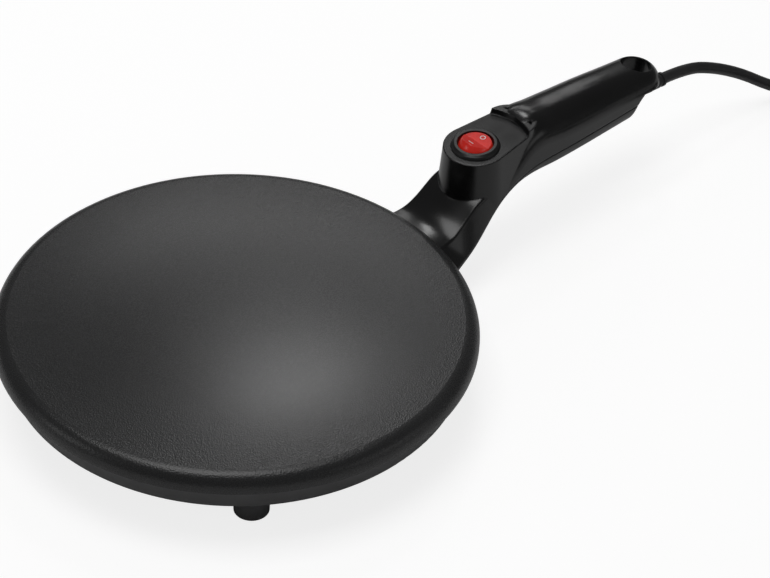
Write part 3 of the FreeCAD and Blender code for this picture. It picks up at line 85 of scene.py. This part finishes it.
def noise(tree, scale, detail=3.0, rough=0.55, vector=None):
    node = tree.nodes.new("ShaderNodeTexNoise")
    node.inputs["Scale"].default_value = scale
    node.inputs["Detail"].default_value = detail
    node.inputs["Roughness"].default_value = rough
    tree.links.new(vector or place(tree), node.inputs["Vector"])
    return node.outputs["Fac"]


def spots(tree, scale):
    """Small round cells, for pebbling."""
    node = tree.nodes.new("ShaderNodeTexVoronoi")
    node.inputs["Scale"].default_value = scale
    tree.links.new(place(tree), node.inputs["Vector"])
    return node.outputs["Distance"]


def spread(tree, value, low, high, to_low, to_high):
    """A value from low to high, carried over to the range from to_low to to_high."""
    node = tree.nodes.new("ShaderNodeMapRange")
    node.inputs["From Min"].default_value = low
    node.inputs["From Max"].default_value = high
    node.inputs["To Min"].default_value = to_low
    node.inputs["To Max"].default_value = to_high
    tree.links.new(value, node.inputs["Value"])
    return node.outputs["Result"]


def vary(tree, value, to_low, to_high):
    """The middle of a noise, where most of it lies, carried over to a range."""
    return spread(tree, value, 0.3, 0.7, to_low, to_high)


def blend_colours(tree, value, first, second, low=0.35, high=0.65):
    node = tree.nodes.new("ShaderNodeValToRGB")
    ends = node.color_ramp.elements
    for end, position, colour in zip(ends, (low, high), (first, second)):
        end.position = position
        end.color = (*colour, 1)
    tree.links.new(value, node.inputs["Fac"])
    return node.outputs["Color"]


def add_colours(tree, first, second):
    node = tree.nodes.new("ShaderNodeMixRGB")
    node.blend_type = "ADD"
    node.inputs["Fac"].default_value = 1.0
    tree.links.new(first, node.inputs["Color1"])
    tree.links.new(second, node.inputs["Color2"])
    return node.outputs["Color"]


def bump(tree, height, strength, distance, under=None):
    """The surface's normal after small relief, over another normal if there is one."""
    node = tree.nodes.new("ShaderNodeBump")
    node.inputs["Strength"].default_value = strength
    node.inputs["Distance"].default_value = distance
    tree.links.new(height, node.inputs["Height"])
    if under is not None:
        tree.links.new(under, node.inputs["Normal"])
    return node.outputs["Normal"]


BEVEL_SAMPLES = 6


def soft_edges(tree, radius):
    """A normal that rounds the edges of what is moulded."""
    node = tree.nodes.new("ShaderNodeBevel")
    node.samples = BEVEL_SAMPLES
    node.inputs["Radius"].default_value = radius
    return node.outputs["Normal"]


def by_radius(tree, near, far, at_near, at_far):
    """A value that changes with the distance from the plate's axis."""
    flat = tree.nodes.new("ShaderNodeVectorMath")
    flat.operation = "MULTIPLY"
    flat.inputs[1].default_value = (1, 1, 0)
    tree.links.new(place(tree), flat.inputs[0])
    length = tree.nodes.new("ShaderNodeVectorMath")
    length.operation = "LENGTH"
    tree.links.new(flat.outputs["Vector"], length.inputs[0])
    return spread(tree, length.outputs["Value"], near, far, at_near, at_far)


# Materials: one function for each kind of finish
def shade(colour, times, plus=0.0):
    return tuple(min(1, c * times + plus) for c in colour)


def new_material(name, colour, rough, **sockets):
    """A material, its node tree and its shader, with other sockets by name: Metallic=1.0."""
    mat = bpy.data.materials.new(name)
    mat.use_nodes = True
    mat.diffuse_color = (*colour, 1)
    tree = mat.node_tree
    shader = node_of_type(tree, "BSDF_PRINCIPLED")
    shader.inputs["Base Color"].default_value = (*colour, 1)
    shader.inputs["Roughness"].default_value = rough
    for key, value in sockets.items():
        shader.inputs[key.replace("_", " ")].default_value = value
    return mat, tree, shader


def finish(tree, shader, colour=None, rough=None, normal=None):
    """Connects what a finish works out to the shader's sockets."""
    for name, socket in (("Base Color", colour), ("Roughness", rough), ("Normal", normal)):
        if socket is not None:
            tree.links.new(socket, shader.inputs[name])


# The pebbling is pressed flatter in the middle of the plate
PEBBLE_NEAR, PEBBLE_FAR = 0.055, 0.097
PEBBLE_AT_NEAR, PEBBLE_AT_FAR = 0.1, 0.75


def nonstick(name, colour, rough):
    """Charcoal non-stick coating: fine pebbling, with faint lighter specks painted into the
    colour as sparkle.
    """
    mat, tree, shader = new_material(name, colour, rough)
    pebble = spots(tree, 1500)
    grain = noise(tree, 1900, 2.0)
    cloud = blend_colours(tree, noise(tree, 14, 4.0),
                          (0.021, 0.0213, 0.0217), (0.027, 0.0273, 0.0277))
    # Painted sparkle: tiny lighter specks added to the base colour, standing in for glints on the
    # pebbled coating
    painted_sparkle = blend_colours(tree, noise(tree, 2600, 1.0),
                          (0.0, 0.0, 0.0), (0.1, 0.1, 0.102), 0.7, 0.77)
    low = bump(tree, pebble, 0.5, 0.0001)
    pressed = by_radius(tree, PEBBLE_NEAR, PEBBLE_FAR, PEBBLE_AT_NEAR, PEBBLE_AT_FAR)
    tree.links.new(pressed, low.node.inputs["Strength"])
    finish(tree, shader, add_colours(tree, cloud, painted_sparkle), vary(tree, grain, 0.24, 0.31),
           bump(tree, grain, 0.12, 0.00005, low))
    return mat


def moulded(name, colour, rough, grain_scale, grain_depth, edge=0.0, coat=0.0):
    """Moulded plastic: a faint flow of colour, a fine skin, and softened edges."""
    mat, tree, shader = new_material(name, colour, rough, Coat_Weight=coat, Coat_Roughness=0.08)
    under = soft_edges(tree, edge) if edge else None
    finish(tree, shader,
           blend_colours(tree, noise(tree, 25), colour, shade(colour, 1.25, 0.002)),
           vary(tree, noise(tree, 70, 4.0), rough * 0.88, rough * 1.15),
           bump(tree, noise(tree, grain_scale, 2.0), 0.25, grain_depth, under))
    return mat


def red_plastic(name, colour, rough):
    """Clear red plastic with a faint painted glow all over, an emission standing in for light
    passing through it.
    """
    # Painted glow: a faint red emission over the whole part, in place of light passing through
    # the plastic
    mat, tree, shader = new_material(name, colour, rough, Coat_Weight=0.35, Coat_Roughness=0.05,
                                     Emission_Color=(1.0, 0.06, 0.03, 1), Emission_Strength=0.12)
    finish(tree, shader,
           blend_colours(tree, noise(tree, 160, 2.0), (0.58, 0.008, 0.008), (0.78, 0.018, 0.016)),
           normal=bump(tree, noise(tree, 500, 2.0), 0.15, 0.00005, soft_edges(tree, 0.0004)))
    return mat


def metal(name, colour, rough, stretch=(1, 1, 12)):
    """Metal with a drawn or rolled grain and slight tarnish."""
    mat, tree, shader = new_material(name, colour, rough, Metallic=1.0)
    mapping = tree.nodes.new("ShaderNodeMapping")
    mapping.inputs["Scale"].default_value = stretch
    tree.links.new(place(tree), mapping.inputs["Vector"])
    grain = noise(tree, 300, 4.0, 0.6, mapping.outputs["Vector"])
    finish(tree, shader,
           blend_colours(tree, noise(tree, 90, 4.0), shade(colour, 0.78), colour),
           vary(tree, grain, rough * 0.8, rough * 1.3),
           bump(tree, grain, 0.12, 0.00003))
    return mat


def rubber(name, colour, rough):
    """Rubber: matte, with a dusty bloom and a fine skin."""
    mat, tree, shader = new_material(name, colour, rough)
    finish(tree, shader,
           blend_colours(tree, noise(tree, 60, 4.0), colour, shade(colour, 1.3, 0.004)),
           vary(tree, noise(tree, 180), rough * 0.9, rough * 1.12),
           bump(tree, noise(tree, 1500, 2.0), 0.3, 0.00004))
    return mat


def chalky(name, colour, rough, scale):
    """Unglazed ceramic or woven glass: pale, dry and slightly uneven."""
    mat, tree, shader = new_material(name, colour, rough)
    finish(tree, shader,
           blend_colours(tree, noise(tree, scale, 4.0), shade(colour, 0.8), colour),
           normal=bump(tree, noise(tree, scale * 3), 0.3, 0.00008))
    return mat


def glass(name, colour, rough):
    """The lamp's thin glass, with a slightly uneven polish."""
    mat, tree, shader = new_material(name, colour, rough, Transmission_Weight=0.9, IOR=1.5)
    finish(tree, shader, rough=vary(tree, noise(tree, 400, 2.0), 0.03, 0.08))
    return mat


FINISHES = {
    # name: kind, colour, roughness, and what else the kind takes
    "nonstick_coating": (nonstick, (0.018, 0.0183, 0.0187), 0.27),
    "black_plastic": (moulded, (0.004, 0.004, 0.0042), 0.22, 900, 0.00001, 0.0011, 0.1),
    "base_plastic": (moulded, (0.06, 0.06, 0.061), 0.5, 1400, 0.00005, 0.0006),
    "switch_black": (moulded, (0.008, 0.008, 0.008), 0.3, 1100, 0.00003, 0.0004),
    "plug_rubber": (moulded, (0.022, 0.022, 0.022), 0.42, 1300, 0.00006, 0.0006),
    "phenolic": (moulded, (0.1, 0.075, 0.055), 0.5, 1500, 0.00006),
    "red_button": (red_plastic, (0.72, 0.015, 0.01), 0.2),
    "foot_rubber": (rubber, (0.075, 0.075, 0.077), 0.6),
    "cord_rubber": (rubber, (0.02, 0.02, 0.021), 0.4),
    "steel": (metal, (0.62, 0.62, 0.63), 0.3),
    "element_steel": (metal, (0.33, 0.32, 0.31), 0.45),
    "reflector_sheet": (metal, (0.78, 0.78, 0.79), 0.25, (12, 1, 1)),
    "brass": (metal, (0.78, 0.6, 0.3), 0.28),
    "ceramic": (chalky, (0.82, 0.8, 0.75), 0.7, 300),
    "sleeve": (chalky, (0.84, 0.82, 0.77), 0.8, 700),
    "lamp_glass": (glass, (1.0, 0.75, 0.6), 0.05),
    "mark_ink": (moulded, (0.92, 0.86, 0.86), 0.4, 800, 0.00002),
}


def make_materials():
    return {name: kind(name, *values) for name, (kind, *values) in FINISHES.items()}


SHARP_ANGLE = math.radians(32)


def smooth_shading(obj):
    mesh = obj.data
    if mesh.has_custom_normals:
        bpy.context.view_layer.objects.active = obj
        with bpy.context.temp_override(object=obj, active_object=obj):
            bpy.ops.mesh.customdata_custom_splitnormals_clear()
    mesh.polygons.foreach_set("use_smooth", [True] * len(mesh.polygons))
    mesh.set_sharp_from_angle(angle=SHARP_ANGLE)


def dress_nodes(materials):
    """Gives every carried-over node the material of its slot in the record."""
    slot_names = {s["node"]: s["material_slot"] for s in frame["record"]["subparts"]}
    for name, obj in frame["nodes"].items():
        mat = materials[slot_names[name]]
        if not obj.material_slots:
            obj.data.materials.append(mat)
        for slot in obj.material_slots:
            slot.material = mat
        smooth_shading(obj)


# The cord, in millimetres: the route of the CAD tube as one smooth spline. It leaves the
# strain relief, comes down to the floor, winds inwards in a coil, climbs a layer, winds
# outwards on its own turns and goes down to the plug.
CORD_D = 5.6
EXIT_X = 268.0
EXIT_Z = 38.5
EXIT_SLOPE = math.radians(5.0)
EXIT_RUN = 18
DESCENT = ((303, -3, 31), (320, -7, 22), (335, -12, 11.5), (349, -18.5, 4.2))

COIL_X = 350.0
COIL_Y = -67.0
COIL_HEADING = math.radians(-45)
COIL_R = 36.9
COIL_STEP = 3.1
COIL_LAYER = 6.1
COIL_RUN_IN = 16
HALF_TURNS = (0, 1, 2, 3, 4, 3, 2, 1)
POINTS_PER_HALF = 12

PLUG_Z = 18.6
TO_PLUG = ((76, -32, PLUG_Z), (78, -50, PLUG_Z))

BEVEL_RESOLUTION = 6
CURVE_RESOLUTION = 8


def by_coil(f, s, z):
    """A point given along and across the coil's heading."""
    c = math.cos(COIL_HEADING)
    d = math.sin(COIL_HEADING)
    return (COIL_X + f * c - s * d, COIL_Y + f * d + s * c, z)


def coil_route(low):
    """Half turns whose radius steps in and out again, and where the last ends."""
    points = []
    at = COIL_R
    z = low
    side = 1
    # The spline runs inside its points, so they stand out a little
    outwards = 1 / (0.75 + 0.25 * math.cos(math.pi / POINTS_PER_HALF))
    for step in HALF_TURNS:
        radius = COIL_R - COIL_STEP * step
        rise = COIL_LAYER if step == max(HALF_TURNS) else 0.0
        centre = at - side * radius
        for k in range(POINTS_PER_HALF):
            a = math.pi * (k + 0.5) / POINTS_PER_HALF
            f = radius * math.sin(a) * outwards * side
            s = centre + side * radius * math.cos(a) * outwards
            points.append(by_coil(f, s, z + rise * (1 - math.cos(a)) / 2))
        at = centre - side * radius
        z += rise
        side = -side
    return points, at, z


def cord_route():
    low = CORD_D / 2
    coil, at, z = coil_route(low)
    points = [
        (EXIT_X, 0, EXIT_Z),
        (EXIT_X + EXIT_RUN * math.cos(EXIT_SLOPE), 0, EXIT_Z - EXIT_RUN * math.sin(EXIT_SLOPE)),
        *DESCENT,
        by_coil(-CORD_D - COIL_RUN_IN, COIL_R, low),
        by_coil(-CORD_D, COIL_R, low),
        *coil,
        by_coil(CORD_D, at, z),
        by_coil(23, at, z),
        by_coil(41, at - 5, z - 4),
        by_coil(57, at - 15, low + 0.1),
        by_coil(68, at - 30, low + 1.4),
        by_coil(73.5, at - 50, low + 9),
        *(by_coil(*point) for point in TO_PLUG),
    ]
    return [Vector(p) * MM for p in points]


def make_cord(materials):
    data = bpy.data.curves.new("cord_line", "CURVE")
    data.dimensions = "3D"
    data.bevel_depth = CORD_D / 2 * MM
    data.bevel_resolution = BEVEL_RESOLUTION
    data.resolution_u = CURVE_RESOLUTION
    data.use_fill_caps = True
    points = cord_route()
    spline = data.splines.new("NURBS")
    spline.points.add(len(points) - 1)
    for point, where in zip(spline.points, points):
        point.co = (*where, 1)
    spline.order_u = 3
    spline.use_endpoint_u = True
    cord = link(bpy.data.objects.new("cord_line", data))
    data.materials.append(materials["cord_rubber"])
    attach(cord, "crepe_maker")
    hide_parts("power_cord", "cord_coil", "cord_tail")


# The marks on the rocker: a ring at the end by the grip, a bar at the end by the plate
FLAT = Vector((141.0, 0.0, 59.0)) * MM
FLAT_TILT = math.radians(3.4)
PIVOT_DEPTH = 1.8 * MM
ROCKER_HALF = math.radians(11.0)
CREST_H = 3.8 * MM
MARK_X = 3.9 * MM
MARK_H = 0.12 * MM
MARK_SINK = 0.1 * MM
RING_OUTER = 1.35 * MM
RING_INNER = 0.95 * MM
RING_SIDES = 40
BAR = (0.22 * MM, 1.4 * MM)
BAR_SLOT = (0.02 * MM, 1.2 * MM)
GRIP_END, PLATE_END = 1, -1


def rocker_frame(end):
    """From a mark's own frame to the rocker's face on that side, at rest."""
    on_flat = (Matrix.Translation(FLAT) @ Matrix.Rotation(-FLAT_TILT, 4, "Y")
               @ Matrix.Translation((0, 0, -PIVOT_DEPTH)))
    pressed = Matrix.Rotation(ROCKER_HALF, 4, "Y")
    crest = Matrix.Translation((0, 0, CREST_H))
    face = Matrix.Rotation(-end * ROCKER_HALF, 4, "Y")
    return on_flat @ pressed @ crest @ face


def mark(name, inner, outer, end, materials):
    """A flat mark with an opening, set a little into the rocker's face."""
    mesh = bpy.data.meshes.new(name)
    bm = bmesh.new()
    low_in, low_out, top_in, top_out = (
        [bm.verts.new((end * MARK_X + x, y, height)) for x, y in outline]
        for height in (-MARK_SINK, MARK_H) for outline in (inner, outer))
    count = len(low_out)
    for k in range(count):
        j = (k + 1) % count
        bm.faces.new((top_in[k], top_out[k], top_out[j], top_in[j]))
        bm.faces.new((low_out[k], low_out[j], top_out[j], top_out[k]))
        bm.faces.new((low_in[j], low_in[k], top_in[k], top_in[j]))
        bm.faces.new((low_out[j], low_out[k], low_in[k], low_in[j]))
    bmesh.ops.recalc_face_normals(bm, faces=bm.faces)
    bm.to_mesh(mesh)
    bm.free()
    obj = link(bpy.data.objects.new(name, mesh))
    mesh.materials.append(materials["mark_ink"])
    obj.matrix_world = rocker_frame(end)
    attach(obj, "rocker")


def ring(radius):
    turns = [2 * math.pi * k / RING_SIDES for k in range(RING_SIDES)]
    return [(radius * math.cos(a), radius * math.sin(a)) for a in turns]


def rectangle(half_x, half_y):
    return [(x * half_x, y * half_y) for x, y in ((-1, -1), (1, -1), (1, 1), (-1, 1))]


def make_marks(materials):
    mark("mark_off", ring(RING_INNER), ring(RING_OUTER), GRIP_END, materials)
    mark("mark_on", rectangle(*BAR_SLOT), rectangle(*BAR), PLATE_END, materials)


# Light, floor and background
WORLD_LIGHT = 0.1
FLOOR_HALF = 4
FLOOR_DROP = 0.2 * MM
FLOOR_COLOUR = (0.86, 0.86, 0.86, 1)
FLOOR_GLOW = 1.35
FLOOR_GLOW_SHARE = 0.6
WHITE = (1, 1, 1, 1)
AIM = (0.08, 0, 0.03)
LIGHTS = (
    # name, place, size, watts, aim
    ("softbox_top", (-0.1, 0.1, 1.5), (0.9, 0.9), 8, AIM),
    ("softbox_back", (0.585, 0.53, 0.93), (0.18, 0.18), 0.8, AIM),
    ("softbox_far", (1.0, 1.0, 0.8), (0.75, 0.3), 1.2, (0.18, 0, 0.06)),
    ("softbox_left", (-1.0, 0.5, 0.45), (0.4, 0.4), 0.6, AIM),
    ("softbox_right", (0.5, -1.1, 0.4), (0.9, 0.3), 0.5, AIM),
)


def make_lights():
    for name, where, size, watts, aim in LIGHTS:
        data = bpy.data.lights.new(name, "AREA")
        data.shape = "RECTANGLE"
        data.size, data.size_y = size
        data.energy = watts
        light = link(bpy.data.objects.new(name, data))
        light.location = where
        towards = Vector(aim) - Vector(where)
        light.rotation_euler = towards.to_track_quat("-Z", "Y").to_euler()


def make_world():
    """White where the camera sees it, by itself or through glass, and dim as light."""
    world = bpy.data.worlds.new("world")
    bpy.context.scene.world = world
    world.use_nodes = True
    tree = world.node_tree
    back = node_of_type(tree, "BACKGROUND")
    back.inputs["Color"].default_value = WHITE
    path = tree.nodes.new("ShaderNodeLightPath")
    seen = tree.nodes.new("ShaderNodeMath")
    seen.operation = "MAXIMUM"
    tree.links.new(path.outputs["Is Camera Ray"], seen.inputs[0])
    tree.links.new(path.outputs["Is Transmission Ray"], seen.inputs[1])
    strength = spread(tree, seen.outputs["Value"], 0, 1, WORLD_LIGHT, 1.0)
    tree.links.new(strength, back.inputs["Strength"])


def floor_paper():
    """Pale paper that takes the shadows and looks white to the camera."""
    mat = bpy.data.materials.new("floor_paper")
    mat.use_nodes = True
    tree = mat.node_tree
    shader = node_of_type(tree, "BSDF_PRINCIPLED")
    shader.inputs["Base Color"].default_value = FLOOR_COLOUR
    shader.inputs["Roughness"].default_value = 0.9
    shader.inputs["Specular IOR Level"].default_value = 0.1
    glow = tree.nodes.new("ShaderNodeEmission")
    glow.inputs["Color"].default_value = WHITE
    glow.inputs["Strength"].default_value = FLOOR_GLOW
    path = tree.nodes.new("ShaderNodeLightPath")
    mix = tree.nodes.new("ShaderNodeMixShader")
    share = spread(tree, path.outputs["Is Camera Ray"], 0, 1, 0.0, FLOOR_GLOW_SHARE)
    tree.links.new(share, mix.inputs["Fac"])
    tree.links.new(shader.outputs["BSDF"], mix.inputs[1])
    tree.links.new(glow.outputs["Emission"], mix.inputs[2])
    surface = node_of_type(tree, "OUTPUT_MATERIAL").inputs["Surface"]
    tree.links.new(mix.outputs["Shader"], surface)
    return mat


def make_floor():
    mesh = bpy.data.meshes.new("floor")
    bm = bmesh.new()
    bmesh.ops.create_grid(bm, x_segments=1, y_segments=1, size=FLOOR_HALF)
    bm.to_mesh(mesh)
    bm.free()
    mesh.materials.append(floor_paper())
    floor = link(bpy.data.objects.new("floor", mesh))
    floor.location.z = -FLOOR_DROP


make_camera()
materials = make_materials()
make_cord(materials)
dress_nodes(materials)
make_marks(materials)
make_world()
make_floor()
make_lights()
bpy.context.scene.view_settings.view_transform = "Standard"
